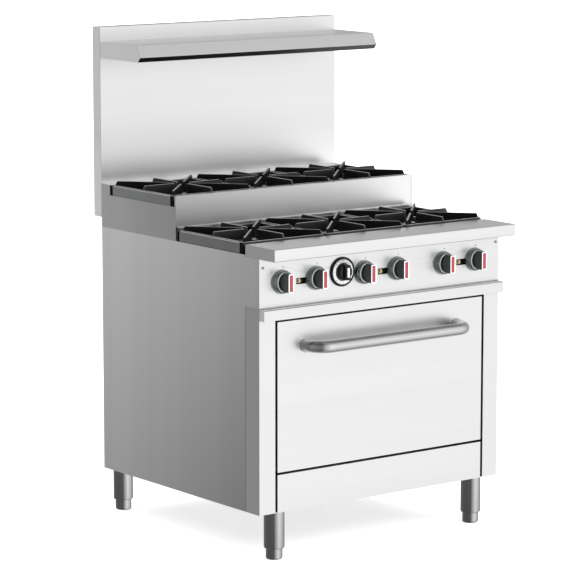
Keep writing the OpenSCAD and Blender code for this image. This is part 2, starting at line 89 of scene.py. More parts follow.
def ahead(place, depth):
    """The point that lies depth in front of a place."""
    return Vector(place) + Vector(OUT) * depth


KNOB_HUBS = [middle(f"knob_{number}") for number in KNOBS]


# ---- Materials ----

def grey(level):
    """A grey of one level."""
    return (level, level, level)


def add_node(tree, kind, **values):
    """Adds a shader node. A value named like an input sets that input, and any other sets a property."""
    node = tree.nodes.new(kind)
    for key, value in values.items():
        label = key.replace("_", " ")
        if label in node.inputs:
            node.inputs[label].default_value = value
        else:
            setattr(node, key, value)
    return node


def material(name, base, roughness, metallic=0.0, tone=0.05, tone_scale=14.0, streak=(1, 1, 1),
             streak_scale=40.0, rough_span=0.06, bump=0.1, bump_depth=0.0002, wear_and_edge_highlight=0.0, top=0.0, side=1.0,
             fade=None, **sockets):
    """A procedural finish. Noise along `streak` varies roughness and relief, and a second, larger noise
    varies the colour. `wear_and_edge_highlight` brightens convex edges: partly worn edges, partly a painted
    highlight.
    `top` is painted top light, which brightens faces that look up. `side` is painted light and shade, a gain
    for faces that look left or right. `fade` is (start, end, gain), painted light and shade as a gain that
    builds up on the way."""
    mat = bpy.data.materials.new(name)
    mat.use_nodes = True
    tree = mat.node_tree
    link = tree.links.new
    shader = tree.nodes["Principled BSDF"]
    shader.inputs["Metallic"].default_value = metallic
    for socket, value in sockets.items():
        shader.inputs[socket.replace("_", " ")].default_value = value

    def add(kind, **values):
        return add_node(tree, kind, **values)

    def facing():
        """The surface's direction, split into its X, Y and Z."""
        parts = add("ShaderNodeSeparateXYZ")
        link(add("ShaderNodeNewGeometry").outputs["Normal"], parts.inputs["Vector"])
        return parts.outputs

    def spread(source, start, end, reach=1.0):
        """Grows from 0 to reach as the source goes from start to end."""
        span = add("ShaderNodeMapRange", From_Min=start, From_Max=end, To_Max=reach)
        link(source, span.inputs["Value"])
        return span.outputs["Result"]

    def mix_in(colour, factor, shade, blend="MIX"):
        """Blends a shade into a colour by a factor."""
        mix = add("ShaderNodeMix", data_type="RGBA", blend_type=blend)
        mix.inputs["B"].default_value = (*shade, 1.0)
        link(factor, mix.inputs["Factor"])
        link(colour, mix.inputs["A"])
        return mix.outputs["Result"]

    coords = add("ShaderNodeTexCoord")
    stretch = add("ShaderNodeMapping", Scale=streak)
    link(coords.outputs["Object"], stretch.inputs["Vector"])
    fine = add("ShaderNodeTexNoise", Scale=streak_scale, Detail=4.0, Roughness=0.6)
    link(stretch.outputs["Vector"], fine.inputs["Vector"])
    cloud = add("ShaderNodeTexNoise", Scale=tone_scale, Detail=3.0, Roughness=0.55)
    link(stretch.outputs["Vector"], cloud.inputs["Vector"])

    ramp = add("ShaderNodeValToRGB")
    for stop, position, gain in zip(ramp.color_ramp.elements, (0.3, 0.7), (1 - tone, 1 + tone)):
        stop.position = position
        stop.color = [min(1.0, c * gain) for c in base] + [1.0]
    link(cloud.outputs["Fac"], ramp.inputs["Fac"])
    colour = ramp.outputs["Color"]
    # Painted highlight: convex edges are mixed towards a pale copy of the base, partly standing for worn
    # edges.
    if wear_and_edge_highlight:
        edge = spread(add("ShaderNodeNewGeometry").outputs["Pointiness"], 0.52, 0.62, wear_and_edge_highlight)
        colour = mix_in(colour, edge, [min(1.0, c * 3 + 0.12) for c in base])
    # Painted top light: faces that look up are mixed towards a pale grey.
    if top:
        colour = mix_in(colour, spread(facing()["Z"], 0.75, 0.97, top), grey(0.42))
    # Painted light and shade: faces that look left or right take a gain, darker below 1 and brighter above 1.
    if side != 1:
        across = facing()["X"]
        squared = add("ShaderNodeMath", operation="MULTIPLY")
        link(across, squared.inputs[0])
        link(across, squared.inputs[1])
        colour = mix_in(colour, squared.outputs["Value"], grey(side), "MULTIPLY")
    # Painted light and shade: a gain that builds up along a line across the object.
    if fade:
        start, end, gain = Vector(fade[0]), Vector(fade[1]), fade[2]
        run = (end - start) / (end - start).length_squared
        along = add("ShaderNodeVectorMath", operation="DOT_PRODUCT")
        link(coords.outputs["Object"], along.inputs[0])
        along.inputs[1].default_value = run
        shift = start.dot(run)
        colour = mix_in(colour, spread(along.outputs["Value"], shift, shift + 1), grey(gain), "MULTIPLY")
    link(colour, shader.inputs["Base Color"])

    rough = add("ShaderNodeMapRange", To_Min=max(0.02, roughness - rough_span),
                To_Max=min(1.0, roughness + rough_span))
    link(fine.outputs["Fac"], rough.inputs["Value"])
    link(rough.outputs["Result"], shader.inputs["Roughness"])
    if bump:
        relief = add("ShaderNodeBump", Strength=bump, Distance=bump_depth)
        link(fine.outputs["Fac"], relief.inputs["Height"])
        link(relief.outputs["Normal"], shader.inputs["Normal"])
    return mat


def brushed(name, base, streak, roughness=0.34, tone=0.018, **extra):
    """Stainless sheet with a fine brushed grain, drawn out along one axis."""
    return material(name, base, roughness, 1.0, tone=tone, streak=streak, streak_scale=1400, bump=0.06,
                    bump_depth=0.00008, **extra)


ALONG_X = (0.02, 1, 1)
ALONG_Z = (1, 1, 0.02)

sheet_steel = brushed("steel_brushed_across", grey(0.80), ALONG_X)
upright_steel = brushed("steel_brushed_upright", grey(0.80), ALONG_Z, 0.36, 0.02)
# Painted shade: the side panels darken towards the front and the bottom.
side_steel = brushed("steel_side", grey(0.93), ALONG_Z, tone=0.035,
                     fade=((-HALF_WIDTH, 0.47, 1.05), (-HALF_WIDTH, -0.42, 0.15), 0.36))
# Painted shade: the step's side panels darken towards the front.
step_side_steel = brushed("steel_step_side", grey(0.60), ALONG_Z, tone=0.035,
                          fade=((0, 0.47, 0), (0, 0.03, 0), 0.72))
# Painted shade: the stiles' faces that look left or right are darker.
stile_steel = brushed("steel_stile", grey(0.80), ALONG_Z, side=0.58)
# Painted light: faces that look left or right are brighter, and the sheet brightens towards the bottom. The
# shelf uses it too.
guard_steel = brushed("steel_guard", grey(0.77), ALONG_X, side=1.24, fade=((0, 0, 1.16), (0, 0, 1.02), 1.22))
# Painted shade: the ledge's faces that look left or right are darker.
ledge_steel = brushed("steel_ledge", grey(0.80), ALONG_X, side=0.65)
# Painted shade: the step face darkens towards the left.
step_steel = brushed("steel_step", grey(0.90), ALONG_X, 0.38, 0.02,
                     fade=((0.40, 0, 0), (-HALF_WIDTH, 0, 0), 0.64))
# Painted shade: a dark steel for bends that lie in shade, which darkens further towards the left.
fold_shade_steel = brushed("steel_fold_painted_shade", (0.22, 0.22, 0.225), ALONG_X, 0.4, 0.03,
                     fade=((HALF_WIDTH, 0, 0), (-HALF_WIDTH, 0, 0), 0.22))
# Painted shade: faces that look left or right are darker.
tube_steel = material("steel_turned", (0.52, 0.525, 0.53), 0.16, 1.0, tone=0.02, streak=(1, 1, 6),
                      streak_scale=500, rough_span=0.03, bump=0.04, bump_depth=0.0001, side=0.30)
handle_steel = material("handle_satin", (0.63, 0.635, 0.64), 0.22, 1.0, tone=0.015, streak=ALONG_X,
                        streak_scale=900, bump=0.05, bump_depth=0.00008, rough_span=0.03)
# Painted light: the coat brightens towards the back.
rail_steel = material("steel_dark_coat", (0.20, 0.203, 0.206), 0.40, 0.9, tone=0.06, streak_scale=300,
                      fade=((0, -0.1, 0), (0, 0.25, 0), 1.35))
screw_steel = material("screw_steel", (0.66, 0.66, 0.67), 0.24, 1.0, tone=0.05, tone_scale=90,
                       streak_scale=900)
chrome = material("wire_chrome", (0.74, 0.75, 0.76), 0.16, 1.0, tone=0.03, streak_scale=200)
brass = material("brass", (0.72, 0.58, 0.32), 0.28, 1.0, tone=0.08, tone_scale=80, streak_scale=600)

# Painted highlight and top light: convex edges are brighter, partly standing for worn edges, and faces that
# look up are brighter.
iron = material("cast_iron", (0.0045, 0.0045, 0.0048), 0.40, 0.0, tone=0.25, tone_scale=30, streak_scale=420,
                rough_span=0.10, bump=0.35, bump_depth=0.0003, wear_and_edge_highlight=0.2, top=0.5, Specular_IOR_Level=0.85)
# Painted shade: a darker, less shiny copy of the cast iron for the diagonal fins.
iron_shaded = material("cast_iron_painted_shade", (0.002, 0.002, 0.0022), 0.5, 0.0, tone=0.25, tone_scale=30,
                     streak_scale=420, rough_span=0.10, bump=0.3, bump_depth=0.0003, wear_and_edge_highlight=0.15, top=0.38,
                     Specular_IOR_Level=0.12)
box_black = material("burner_box_black", grey(0.005), 0.6, 0.0, tone=0.25, tone_scale=50, streak_scale=300,
                     bump=0.2, bump_depth=0.0003, Specular_IOR_Level=0.2)
# Painted shade: a black for the open ends of the burner box rails, where there is only shade.
gap_shade_black = material("open_end_painted_shade", grey(0.003), 0.9, 0.0, tone=0.2, tone_scale=200, streak_scale=500,
                     Specular_IOR_Level=0.05)
enamel = material("enamel_black", (0.012, 0.012, 0.013), 0.22, 0.0, tone=0.2, tone_scale=60,
                  streak_scale=160, bump=0.12, bump_depth=0.0003, Coat_Weight=0.4)
pipe = material("pipe_black", (0.04, 0.04, 0.043), 0.45, 0.2, tone=0.1, streak_scale=300)
gasket = material("gasket_braid", (0.10, 0.10, 0.105), 0.85, 0.0, tone=0.2, tone_scale=200, streak_scale=900,
                  bump=0.8, bump_depth=0.0008)
wool = material("foil_faced_wool", (0.42, 0.42, 0.43), 0.5, 0.85, tone=0.12, tone_scale=25, streak_scale=70,
                rough_span=0.12, bump=0.7, bump_depth=0.003)

gunmetal = material("knob_gunmetal", (0.50, 0.53, 0.53), 0.14, 1.0, tone=0.06, tone_scale=40,
                    streak_scale=500)
knob_side = material("knob_grip_grey", (0.045, 0.05, 0.05), 0.42, 0.0, tone=0.12, tone_scale=120,
                     streak_scale=700, bump=0.1)
white_enamel = material("knob_plate_white", (0.80, 0.81, 0.80), 0.34, 0.0, tone=0.02, streak_scale=400,
                        bump=0.05)
red_inlay = material("knob_inlay_red", (0.27, 0.032, 0.044), 0.38, 0.0, tone=0.06, tone_scale=90,
                     streak_scale=500, bump=0.06)
gloss_black = material("dial_black", (0.006, 0.006, 0.0065), 0.3, 0.0, tone=0.2, tone_scale=60,
                       streak_scale=300, bump=0.05, Specular_IOR_Level=0.3)
dial_white = material("dial_ring_white", (0.72, 0.73, 0.73), 0.3, 0.0, tone=0.03, tone_scale=60,
                      streak_scale=400, bump=0.05)
print_grey = material("panel_print", (0.16, 0.17, 0.18), 0.5, 0.0, tone=0.1, tone_scale=200, streak_scale=900)

FINISH = {"stainless": sheet_steel, "bright_steel": tube_steel, "dark_steel": rail_steel, "cast_iron": iron,
          "enamel": enamel, "chrome": chrome, "brass": brass, "knob_metal": gunmetal, "dial": gloss_black,
          "gasket": gasket, "mineral_wool": wool, "black_pipe": pipe}
BY_NODE = {"side_panel_left": side_steel, "side_panel_right": side_steel, "step_sides": step_side_steel,
           "flue_duct": upright_steel, "back_panel": upright_steel, "front_stiles": stile_steel,
           "step_front": step_steel, "guard_front": guard_steel, "guard_box": guard_steel,
           "burner_box_front": box_black, "burner_box_rear": box_black, "shelf": guard_steel,
           "shelf_ends": guard_steel}


def finish_cad_nodes():
    """Gives each CAD node its own finish, or else its slot's."""
    slots = {part["node"]: part["material_slot"] for part in frame["record"]["subparts"]}
    for name, obj in CAD.items():
        obj.data.materials.clear()
        obj.data.materials.append(BY_NODE.get(name, FINISH[slots[name]]))


finish_cad_nodes()


# ---- Mesh helpers ----

def soften(obj, width):
    """Rounds an object's sharp edges."""
    weld = obj.modifiers.new("weld", "WELD")
    weld.merge_threshold = 1e-5
    bevel = obj.modifiers.new("edges", "BEVEL")
    bevel.width = width
    bevel.segments = 2
    bevel.limit_method = "ANGLE"
    bevel.angle_limit = math.radians(40)
    bevel.harden_normals = False
    normals = obj.modifiers.new("normals", "WEIGHTED_NORMAL")
    normals.keep_sharp = True


def rectangle(half_w, half_h):
    """The corners of a rectangle round the origin."""
    return [(-half_w, -half_h), (half_w, -half_h), (half_w, half_h), (-half_w, half_h)]


def fillet(points, radius, steps=3, closed=True):
    """The same 2-D outline with its corners rounded."""
    count = len(points)
    out = []
    for i, corner in enumerate(points):
        if not closed and i in (0, count - 1):
            out.append(Vector(corner))
            continue
        corner = Vector(corner)
        before = Vector(points[i - 1]) - corner
        after = Vector(points[(i + 1) % count]) - corner
        angle = before.angle(after)
        if angle > math.radians(172):
            out.append(corner)
            continue
        reach = min(radius / math.tan(angle / 2), before.length * 0.45, after.length * 0.45)
        start, end = corner + before.normalized() * reach, corner + after.normalized() * reach
        for k in range(steps + 1):
            t = k / steps
            out.append(start * (1 - t) ** 2 + corner * 2 * t * (1 - t) + end * t ** 2)
    return out


def axes_for(axis):
    """Two directions across an axis, and the axis."""
    w = Vector(axis).normalized()
    u = Vector(RIGHT) if abs(w.x) < 0.9 else Vector(BACK)
    v = w.cross(u).normalized()
    return v.cross(w).normalized(), v, w


def lathe(bm, profile, place, axis=UP, steps=48):
    """Revolves (radius, height) points about an axis through place."""
    u, v, w = axes_for(axis)
    rings = []
    for radius, height in profile:
        centre = Vector(place) + w * height
        if radius < 1e-6:
            rings.append([bm.verts.new(centre)])
        else:
            rings.append([bm.verts.new(centre + (u * math.cos(a) + v * math.sin(a)) * radius)
                          for a in (2 * math.pi * k / steps for k in range(steps))])
    for low, high in zip(rings, rings[1:]):
        for k in range(steps):
            n = (k + 1) % steps
            if len(low) == 1:
                corners = (low[0], high[n], high[k])
            elif len(high) == 1:
                corners = (low[k], low[n], high[0])
            else:
                corners = (low[k], low[n], high[n], high[k])
            bm.faces.new(corners)


def prism(bm, outline, place, right, up, depth, mat=0, taper=1.0):
    """Extrudes a 2-D outline along right x up by depth, the far end scaled across by taper."""
    right, up = Vector(right).normalized(), Vector(up).normalized()
    out = right.cross(up)
    near, far = [], []
    for x, y in outline:
        near.append(bm.verts.new(Vector(place) + right * x + up * y))
        far.append(bm.verts.new(Vector(place) + right * (x * taper) + up * (y * taper) + out * depth))
    count = len(near)
    faces = [bm.faces.new(list(reversed(near))), bm.faces.new(far)]
    for k in range(count):
        n = (k + 1) % count
        faces.append(bm.faces.new((near[k], near[n], far[n], far[k])))
    for face in faces:
        face.material_index = mat


def slab(bm, low, high):
    """A block between two corners."""
    low, high = Vector(low), Vector(high)
    size = high - low
    prism(bm, [(0, 0), (size.x, 0), (size.x, size.y), (0, size.y)], low, RIGHT, BACK, size.z)


def sweep(bm, path, radius, steps, caps=True):
    """A round bar along a level path."""
    normal = Vector(UP)
    rings = []
    for i, point in enumerate(path):
        run = path[min(i + 1, len(path) - 1)] - path[max(i - 1, 0)]
        side = run.normalized().cross(normal)
        rings.append([bm.verts.new(point + (side * math.cos(a) + normal * math.sin(a)) * radius)
                      for a in (2 * math.pi * k / steps for k in range(steps))])
    for low, high in zip(rings, rings[1:]):
        for k in range(steps):
            n = (k + 1) % steps
            bm.faces.new((low[k], low[n], high[n], high[k]))
    if caps:
        bm.faces.new(list(reversed(rings[0])))
        bm.faces.new(rings[-1])


def bent_sheet(bm, path, thickness, low_x, high_x, radius):
    """A sheet bent along (y, z) points, with rounded bends, across the width."""
    outer = fillet(path, radius, 5, closed=False)
    inner = []
    for i, point in enumerate(outer):
        along = (outer[min(i + 1, len(outer) - 1)] - outer[max(i - 1, 0)]).normalized()
        inner.append(point + Vector((-along.y, along.x)) * thickness)
    prism(bm, outer + inner[::-1], (low_x, 0, 0), BACK, UP, high_x - low_x)


def piece(name, bm, materials, body, stands_for=(), bevel=0.0):
    """Turns a bmesh into a piece that rides on a CAD body."""
    bmesh.ops.recalc_face_normals(bm, faces=bm.faces)
    mesh = bpy.data.meshes.new(name)
    bm.to_mesh(mesh)
    bm.free()
    for mat in materials:
        mesh.materials.append(mat)
    mesh.shade_smooth()
    mesh.set_sharp_from_angle(angle=math.radians(32))
    obj = bpy.data.objects.new(name, mesh)
    bpy.context.scene.collection.objects.link(obj)
    if bevel:
        soften(obj, bevel)
    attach(obj, body)
    if stands_for:
        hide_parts(*stands_for)


# ---- Burner knobs ----

# The skirt's (radius, depth) points: a low rim, a rounded shoulder and a dish behind the grip.
KNOB_SKIRT = mm([(0, 0.6), (35.6, 0.6), (36, 1.2), (36, 3.6), (35.3, 4.6), (35.0, 6), (34.4, 10),
                 (33.2, 14), (31.2, 17.4), (28.8, 19.4), (26.4, 20), (24, 19.4), (21, 17.4), (17, 14.4),
                 (12, 12), (6, 10.8), (0, 10.5)])


def knob(number):
    """A dished skirt with a flat grip, a white plate on the grip and a red inlay in the plate."""
    name = f"knob_{number}"
    hub = middle(name)
    hub.y = FRONT
    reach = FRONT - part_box(name)[0].y
    grip_start = 6 * MM
    grip_end = reach - 1.6 * MM
    outline = fillet(mm(rectangle(9.2, 28)), 4 * MM, 4)
    body = bmesh.new()
    lathe(body, KNOB_SKIRT, hub, OUT)
    prism(body, outline, ahead(hub, grip_start), RIGHT, UP, grip_end - grip_start, 1, taper=0.985)
    piece(name + "_body", body, [gunmetal, knob_side], name, [name], bevel=0.9 * MM)

    plate = bmesh.new()
    face = [(x * 0.97, y * 0.975) for x, y in outline]
    prism(plate, face, ahead(hub, reach - 1.9 * MM), RIGHT, UP, 1.4 * MM)
    piece(name + "_plate", plate, [white_enamel], name, bevel=0.35 * MM)

    inlay = bmesh.new()
    stripe = fillet(mm(rectangle(6.2, 24.5)), 1.2 * MM)
    prism(inlay, stripe, ahead(hub, reach - 0.7 * MM), RIGHT, UP, 0.6 * MM)
    piece(name + "_inlay", inlay, [red_inlay], name, bevel=0.15 * MM)


for number in KNOBS:
    knob(number)


# ---- Thermostat dial ----

DIAL_MARKS = 40
MARKS_PER_LONG_ONE = 5


def dial():
    """A black knob on a flat base, with a white ring of tick marks round it and a white pointer on it."""
    name = "thermostat_dial"
    hub = middle(name)
    hub.y = FRONT
    body = bmesh.new()
    lathe(body, mm([(0, 0.6), (43.4, 0.6), (44, 1.4), (44, 4.2), (43.2, 5.8), (41.6, 6.8), (39.6, 7),
                    (38.4, 6.6), (37.8, 5.6), (37.6, 4.4), (27, 4.4), (0, 4.4)]), hub, OUT, steps=72)
    lathe(body, mm([(0, 4.2), (26.5, 4.2), (26.5, 8), (25.8, 10.5), (25, 15), (24.2, 18), (22.6, 20.2),
                    (20, 21.2), (0, 21.6)]), hub, OUT, steps=64)
    grip = fillet(mm(rectangle(10, 24)), 5.5 * MM, 5)
    prism(body, grip, ahead(hub, 8 * MM), RIGHT, UP, 22 * MM, taper=0.95)
    piece("dial_knob", body, [gloss_black], name, [name], bevel=0.8 * MM)

    ring = bmesh.new()
    lathe(ring, mm([(27, 4.3), (27, 5.6), (27.6, 6.1), (32.5, 6.2), (36.8, 6.1), (37.4, 5.6), (37.4, 4.3)]),
          hub, OUT, steps=72)
    piece("dial_ring", ring, [dial_white], name)

    marks = bmesh.new()
    for k in range(DIAL_MARKS):
        angle = 2 * math.pi * k / DIAL_MARKS
        across = Vector((math.cos(angle), 0, math.sin(angle)))
        along = Vector((-math.sin(angle), 0, math.cos(angle)))
        inner, half = (32.6, 0.9) if k % MARKS_PER_LONG_ONE == 0 else (34.6, 0.55)
        prism(marks, mm([(inner, -half), (36.6, -half), (36.6, half), (inner, half)]), ahead(hub, 5.9 * MM),
              across, -along, -0.55 * MM)
    piece("dial_marks", marks, [gloss_black], name)

    pointer = bmesh.new()
    prism(pointer, fillet(mm([(-2, -14), (5.5, -14), (5.5, 14), (-2, 14)]), 1.6 * MM), ahead(hub, 29.6 * MM),
          RIGHT, UP, 0.8 * MM)
    piece("dial_pointer", pointer, [dial_white], name, bevel=0.2 * MM)


dial()


# ---- Control panel details ----

def panel_marks():
    """A small dot above each burner knob."""
    dots = bmesh.new()
    for hub in KNOB_HUBS:
        lathe(dots, mm([(1.9, 0), (1.9, 0.25), (1.5, 0.4), (0, 0.4)]),
              (hub.x + 5.5 * MM, FRONT, hub.z + 42.5 * MM), OUT, steps=16)
    piece("panel_marks", dots, [print_grey], "body")


def panel_screws():
    """Domed screws with a cross in the panel's two upper corners; the cross is a raised black prism, painted
    shade for the recess.
    """
    screws = bmesh.new()
    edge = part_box("panel_screws")[1].x
    for side in (-1, 1):
        place = (side * (edge - 4.5 * MM), FRONT, middle("panel_screws").z)
        lathe(screws, mm([(0, 0), (4.6, 0), (4.6, 0.5), (4.3, 1.3), (3.4, 2.2), (2.0, 2.7), (0, 2.9)]),
              place, OUT, steps=28)
        # The black cross stands for the shaded recess: painted shade.
        for half_w, half_h in ((2.6, 0.5), (0.5, 2.6)):
            prism(screws, mm(rectangle(half_w, half_h)), ahead(place, 2.2 * MM), RIGHT, UP, 0.75 * MM, 1)
    piece("panel_screw_heads", screws, [screw_steel, gloss_black], "body", ["panel_screws"])


def pilots():
    """A brass pilot valve in each slot between two knobs: a hexagon, a slotted screw and a stem, in front of
    a black slab that is painted shade inside the slot. The screw's slot is black as painted shade."""
    fittings, shade_wells = bmesh.new(), bmesh.new()
    hexagon = mm([(7.6 * math.cos(math.radians(60 * k)), 7.6 * math.sin(math.radians(60 * k)))
                  for k in range(6)])
    for left, right in zip(KNOB_HUBS[::2], KNOB_HUBS[1::2]):
        centre = Vector(((left.x + right.x) / 2, FRONT, middle("pilot_screws").z))
        screw = centre + Vector((3 * MM, 3 * MM, 0))
        prism(fittings, hexagon, ahead(screw, -6 * MM), RIGHT, UP, 6 * MM)
        lathe(fittings, mm([(0, 0), (4.6, 0), (4.6, 3.4), (4.1, 4.0), (0, 4.0)]), screw, OUT, steps=28)
        # The screw's slot is a raised black bar: painted shade.
        prism(fittings, mm(rectangle(4.2, 0.6)), ahead(screw, 3.5 * MM), (0.94, 0, 0.34), (-0.34, 0, 0.94),
              0.56 * MM, 1)
        lathe(fittings, mm([(3.4, -45), (3.4, -6)]), screw, OUT, steps=20)
        # A black slab behind the panel's slot: painted shade.
        well_x = centre.x + 11 * MM
        slab(shade_wells, (well_x - 22 * MM, FRONT + 9.4 * MM, centre.z - 12 * MM),
             (well_x + 22 * MM, FRONT + 10 * MM, centre.z + 12 * MM))
    piece("pilot_fittings", fittings, [brass, gloss_black], "body", ["pilot_screws"], bevel=0.3 * MM)
    piece("pilot_wells_painted_shade", shade_wells, [gloss_black], "body")


panel_marks()
panel_screws()
pilots()


# ---- Sheet edges and folds ----

def burner_box_trim():
    """The burner boxes' side rails: coated skins, a bright strip along the top as a painted highlight, and
    black slabs in the open ends as painted shade.
    """
    rail_height = 32 * MM
    skins, ends, edges = bmesh.new(), bmesh.new(), bmesh.new()
    for node in ("burner_box_front", "burner_box_rear"):
        low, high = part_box(node)
        for side, x in ((-1, low.x), (1, high.x)):
            skin = sorted((x + side * 0.02 * MM, x + side * 0.4 * MM))
            slab(skins, (skin[0], low.y + 0.5 * MM, high.z - rail_height),
                 (skin[1], high.y - 0.5 * MM, high.z - 0.1 * MM))
            # A bright steel strip along the top of each skin: a painted highlight where the rolled edge would
            # catch the light.
            slab(edges, (skin[0] + side * 0.1 * MM, low.y + 14 * MM, high.z - 2.4 * MM),
                 (skin[1] + side * 0.1 * MM, high.y - 14 * MM, high.z))
            # Black slabs in the rails' open ends: painted shade.
            end = sorted((x + side * 0.42 * MM, x + side * 0.6 * MM))
            for y, depth in ((low.y + 0.5 * MM, 13 * MM), (high.y - 7.5 * MM, 7 * MM)):
                slab(ends, (end[0], y, high.z - rail_height), (end[1], y + depth, high.z - 1 * MM))
    piece("burner_box_skins", skins, [rail_steel], "body")
    piece("burner_box_highlight_strips", edges, [screw_steel], "body")
    piece("burner_box_shade_ends", ends, [gap_shade_black], "body")


def step_hems():
    """The step face's upright hems, which reach the raised cooktop's side panels."""
    low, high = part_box("step_front")
    side_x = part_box("step_sides")[1].x
    hems = bmesh.new()
    for side in (-1, 1):
        inner, outer = sorted((side * (high.x - 0.5 * MM), side * side_x))
        slab(hems, (inner, low.y + 9.4 * MM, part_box("front_ledge")[1].z + 11.5 * MM),
             (outer, low.y + 9.9 * MM, high.z))
    piece("step_hems", hems, [step_steel], "body")


def tray_fold():
    """A thin slab of dark steel where the crumb tray's front turns back: a painted shade line."""
    low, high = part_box("crumb_tray")
    fold = bmesh.new()
    slab(fold, (low.x + MM, low.y - 0.06 * MM, high.z - 2.2 * MM),
         (high.x - MM, low.y + 0.3 * MM, high.z - 0.7 * MM))
    piece("crumb_tray_shade_line", fold, [fold_shade_steel], "crumb_tray")


def panel_hem():
    """The hem along the control panel's lower edge."""
    low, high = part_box("control_panel")
    hem = bmesh.new()
    slab(hem, (low.x, FRONT + 0.3 * MM, low.z - 2.0 * MM), (high.x, FRONT + 1.5 * MM, low.z - 0.4 * MM))
    piece("panel_hem", hem, [sheet_steel], "body")


def flue_grille():
    """Seven slanted vanes in the flue opening along the backguard's top."""
    low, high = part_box("guard_box")
    margin = 30 * MM
    pitch = 4.2 * MM
    grille = bmesh.new()
    for k in range(-3, 4):
        y = (low.y + high.y) / 2 + k * pitch
        prism(grille, mm([(-1.6, -2.6), (-1.3, -2.7), (1.6, -0.3), (1.3, 0)]),
              (low.x + margin, y, high.z - 0.1 * MM), BACK, UP, high.x - low.x - 2 * margin)
    piece("flue_grille", grille, [guard_steel], "body")


def shelf_return():
    """The narrow sheet that turns back under the high shelf's sloping lip, in dark steel as painted shade."""
    low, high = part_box("shelf")
    half = high.x - 1.5 * MM
    fold = bmesh.new()
    prism(fold, mm([(0, 0), (12, -14), (11.8, -14.2), (-0.2, -0.2)]),
          (-half, low.y - 0.15 * MM, low.z + 13.9 * MM), BACK, UP, 2 * half)
    piece("shelf_return", fold, [fold_shade_steel], "body")


burner_box_trim()
step_hems()
tray_fold()
panel_hem()
flue_grille()
shelf_return()


# ---- Door handle ----

def handle():
    """A round tube bent back to the door at both ends, with a collar at each foot."""
    low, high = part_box("door_handle")
    collar = 3 * MM
    radius = (high.z - low.z) / 2 - collar
    level = (low.z + high.z) / 2
    out_y = low.y + radius
    half = high.x - radius - collar
    bend = 47 * MM
    arc_steps = 16
    left = [Vector((-half, FRONT - 0.4 * MM, level))]
    for k in range(arc_steps + 1):
        a = math.pi / 2 * k / arc_steps
        left.append(Vector((-half + bend * (1 - math.cos(a)), out_y + bend * (1 - math.sin(a)), level)))
    bar = [Vector((x * (half - bend) / 8, out_y, level)) for x in range(-7, 8)]
    right = [Vector((-p.x, p.y, p.z)) for p in reversed(left)]
    tube = bmesh.new()
    sweep(tube, left + bar + right, radius, steps=48)
    r = radius / MM
    for side in (-1, 1):
        lathe(tube, mm([(r - 1, 0.3), (r + 3, 0.3), (r + 3, 5.6), (r + 2.4, 7.2), (r + 1.2, 8), (r - 1, 8)]),
              (side * half, FRONT, level), OUT)
    piece("handle_tube", tube, [handle_steel], "door", ["door_handle"])


handle()


# ---- Grates ----

def grate(name):
    """A square rim that carries eight tapered fins, which stop short of the middle."""
    low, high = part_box(name)
    centre = (low + high) / 2
    half_x, half_y = (high.x - low.x) / 2, (high.y - low.y) / 2
    rise = 23 * MM
    seat = high.z - rise
    rim = 8 * MM
    top = seat + 10 * MM
    casting = bmesh.new()
    for side in (-1, 1):
        y = centre.y + side * (half_y - rim / 2)
        slab(casting, (centre.x - half_x, y - rim / 2, seat), (centre.x + half_x, y + rim / 2, top))
    for side in (-1, 1):
        x = centre.x + side * (half_x - rim / 2)
        slab(casting, (x - rim / 2, centre.y - half_y + rim, seat + 0.02 * MM),
             (x + rim / 2, centre.y + half_y - rim, top - 0.02 * MM))

    corner = math.atan2(half_y, half_x)
    corner_end = math.hypot(half_x, half_y) - 7 * MM
    fins = [(0, half_x - MM, 0), (math.pi / 2, half_y - MM, 0), (math.pi, half_x - MM, 0),
            (-math.pi / 2, half_y - MM, 0)]
    # The diagonal fins take the darker copy of the cast iron: painted shade.
    fins += [(angle, corner_end, 1) for angle in (corner, math.pi - corner, math.pi + corner, -corner)]
    inner = 26 * MM
    thickness = 7 * MM
    for angle, end, mat in fins:
        tip = end - 1.2 * MM
        profile = fillet([(inner, rise - 30 * MM), (inner + 9 * MM, rise - 33 * MM), (end - 32 * MM, MM),
                          (tip, MM), (tip, 9 * MM), (end - 7 * MM, rise), (inner, rise)], 5 * MM, 4)
        along = Vector((math.cos(angle), math.sin(angle), 0))
        across = Vector((math.sin(angle), -math.cos(angle), 0))
        start = Vector((centre.x, centre.y, seat)) - across * thickness / 2
        prism(casting, profile, start, along, UP, thickness, mat)
    piece(name + "_casting", casting, [iron, iron_shaded], name, [name], bevel=1.1 * MM)


for row in ROWS:
    for column in COLUMNS:
        grate(f"grate_{row}_{column}")


# ---- Legs and feet ----

def foot(name):
    """A turned foot with its threaded stem inside the leg tube."""
    low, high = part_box(name)
    r = (high.x - middle(name).x) / MM
    turned = bmesh.new()
    lathe(turned, mm([(0, 0), (r - 6, 0), (r - 3.4, 0.8), (r - 1.4, 2.4), (r - 0.3, 5), (r, 8), (r, 60),
                      (r - 2, 63), (8, 63), (8, 128), (0, 128)]),
          (middle(name).x, middle(name).y, low.z), steps=56)
    piece(name + "_turned", turned, [tube_steel], name, [name])


def legs():
    """Four leg tubes with rolled lower ends, and their feet."""
    low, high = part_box("leg_tubes")
    length = (high.z - low.z) / MM
    tubes = bmesh.new()
    for row in ROWS:
        for column in ("left", "right"):
            name = f"foot_{row}_{column}"
            lathe(tubes, mm([(27, length), (31, length), (31, 5), (30.6, 3), (29.6, 1.2), (28, 0.2), (27, 0),
                             (26.6, 2), (26.6, length)]),
                  (middle(name).x, middle(name).y, low.z), steps=56)
            foot(name)
    piece("leg_tubes_rolled", tubes, [tube_steel], "body", ["leg_tubes"])


legs()


# ---- Burners and oven rack ----

BURNER_HEIGHT = 34 * MM
BURNER_PORTS = 30


